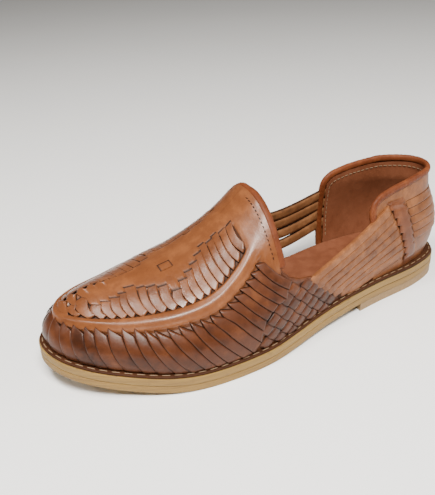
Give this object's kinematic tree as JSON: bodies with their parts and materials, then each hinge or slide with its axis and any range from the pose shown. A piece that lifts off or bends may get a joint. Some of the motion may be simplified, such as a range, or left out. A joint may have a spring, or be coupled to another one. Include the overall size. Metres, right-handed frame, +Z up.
{
  "type": "woven leather sandal",
  "caption": "Left woven leather slip-on sandal with a plaited vamp, open side straps, a closed heel counter and a stitched leather sole.",
  "frame": {"origin": "on the ground under the middle of the heel, on the flat underside of the heel lift", "axes": "+Z up, -Y towards the toe, +X towards the outer side of the foot"},
  "size_m": [0.1051, 0.288, 0.0938],
  "materials": {
    "rubber": "matt grey, worn",
    "sole_leather": "natural tan edge, lightly waxed",
    "welt_leather": "brown edge finish",
    "lining_leather": "smooth, matt",
    "upper_leather": "polished chestnut",
    "binding_leather": "soft sheen"
  },
  "bodies": {
    "root": {"heel_lift": "rubber", "outsole": "sole_leather", "midsole": "sole_leather", "welt": "welt_leather", "insole": "lining_leather", "upper": "upper_leather", "throat_binding": "binding_leather", "counter_binding": "binding_leather"}
  },
  "joints": []
}
